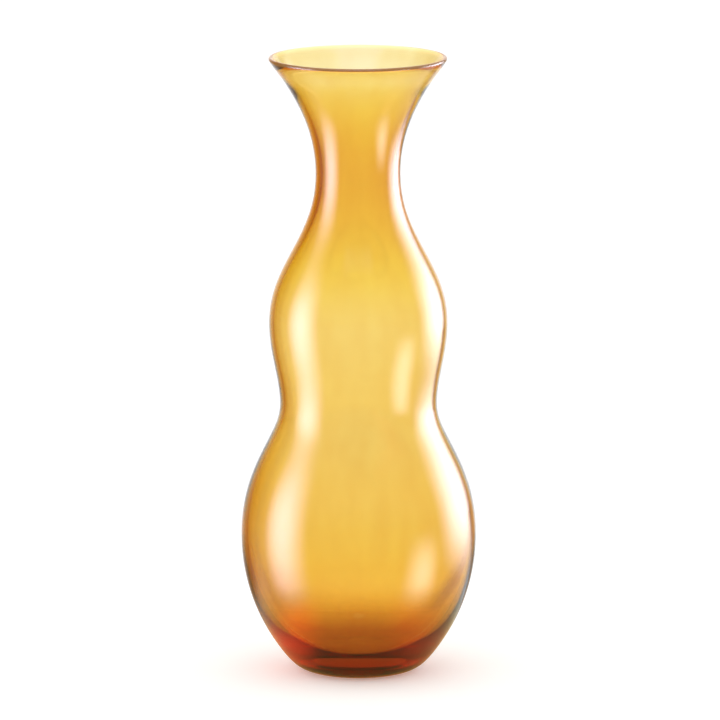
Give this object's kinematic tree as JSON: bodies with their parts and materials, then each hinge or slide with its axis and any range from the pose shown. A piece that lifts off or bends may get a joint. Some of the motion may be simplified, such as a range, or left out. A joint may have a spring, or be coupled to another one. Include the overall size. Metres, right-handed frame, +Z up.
{
  "type": "vase",
  "caption": "Amber blown-glass stem vase with two bulbs, a narrow neck and a flared mouth, on a thick flat base; holds water and long flower stems.",
  "frame": {"origin": "middle of the flat foot, on the surface that the vase stands on", "axes": "+Z up along the vase's axis, out of the mouth; it is round, so +X and +Y are any two square directions"},
  "size_m": [0.1364, 0.1364, 0.36],
  "materials": {
    "casing_glass": "fire-polished, pale amber, transparent",
    "lining_glass": "fire-polished, amber, transparent",
    "pad_glass": "amber in a thick layer, dark red-brown, transparent"
  },
  "bodies": {
    "root": {"outer_casing": "casing_glass", "amber_lining": "lining_glass", "base_pad": "pad_glass"}
  },
  "joints": []
}
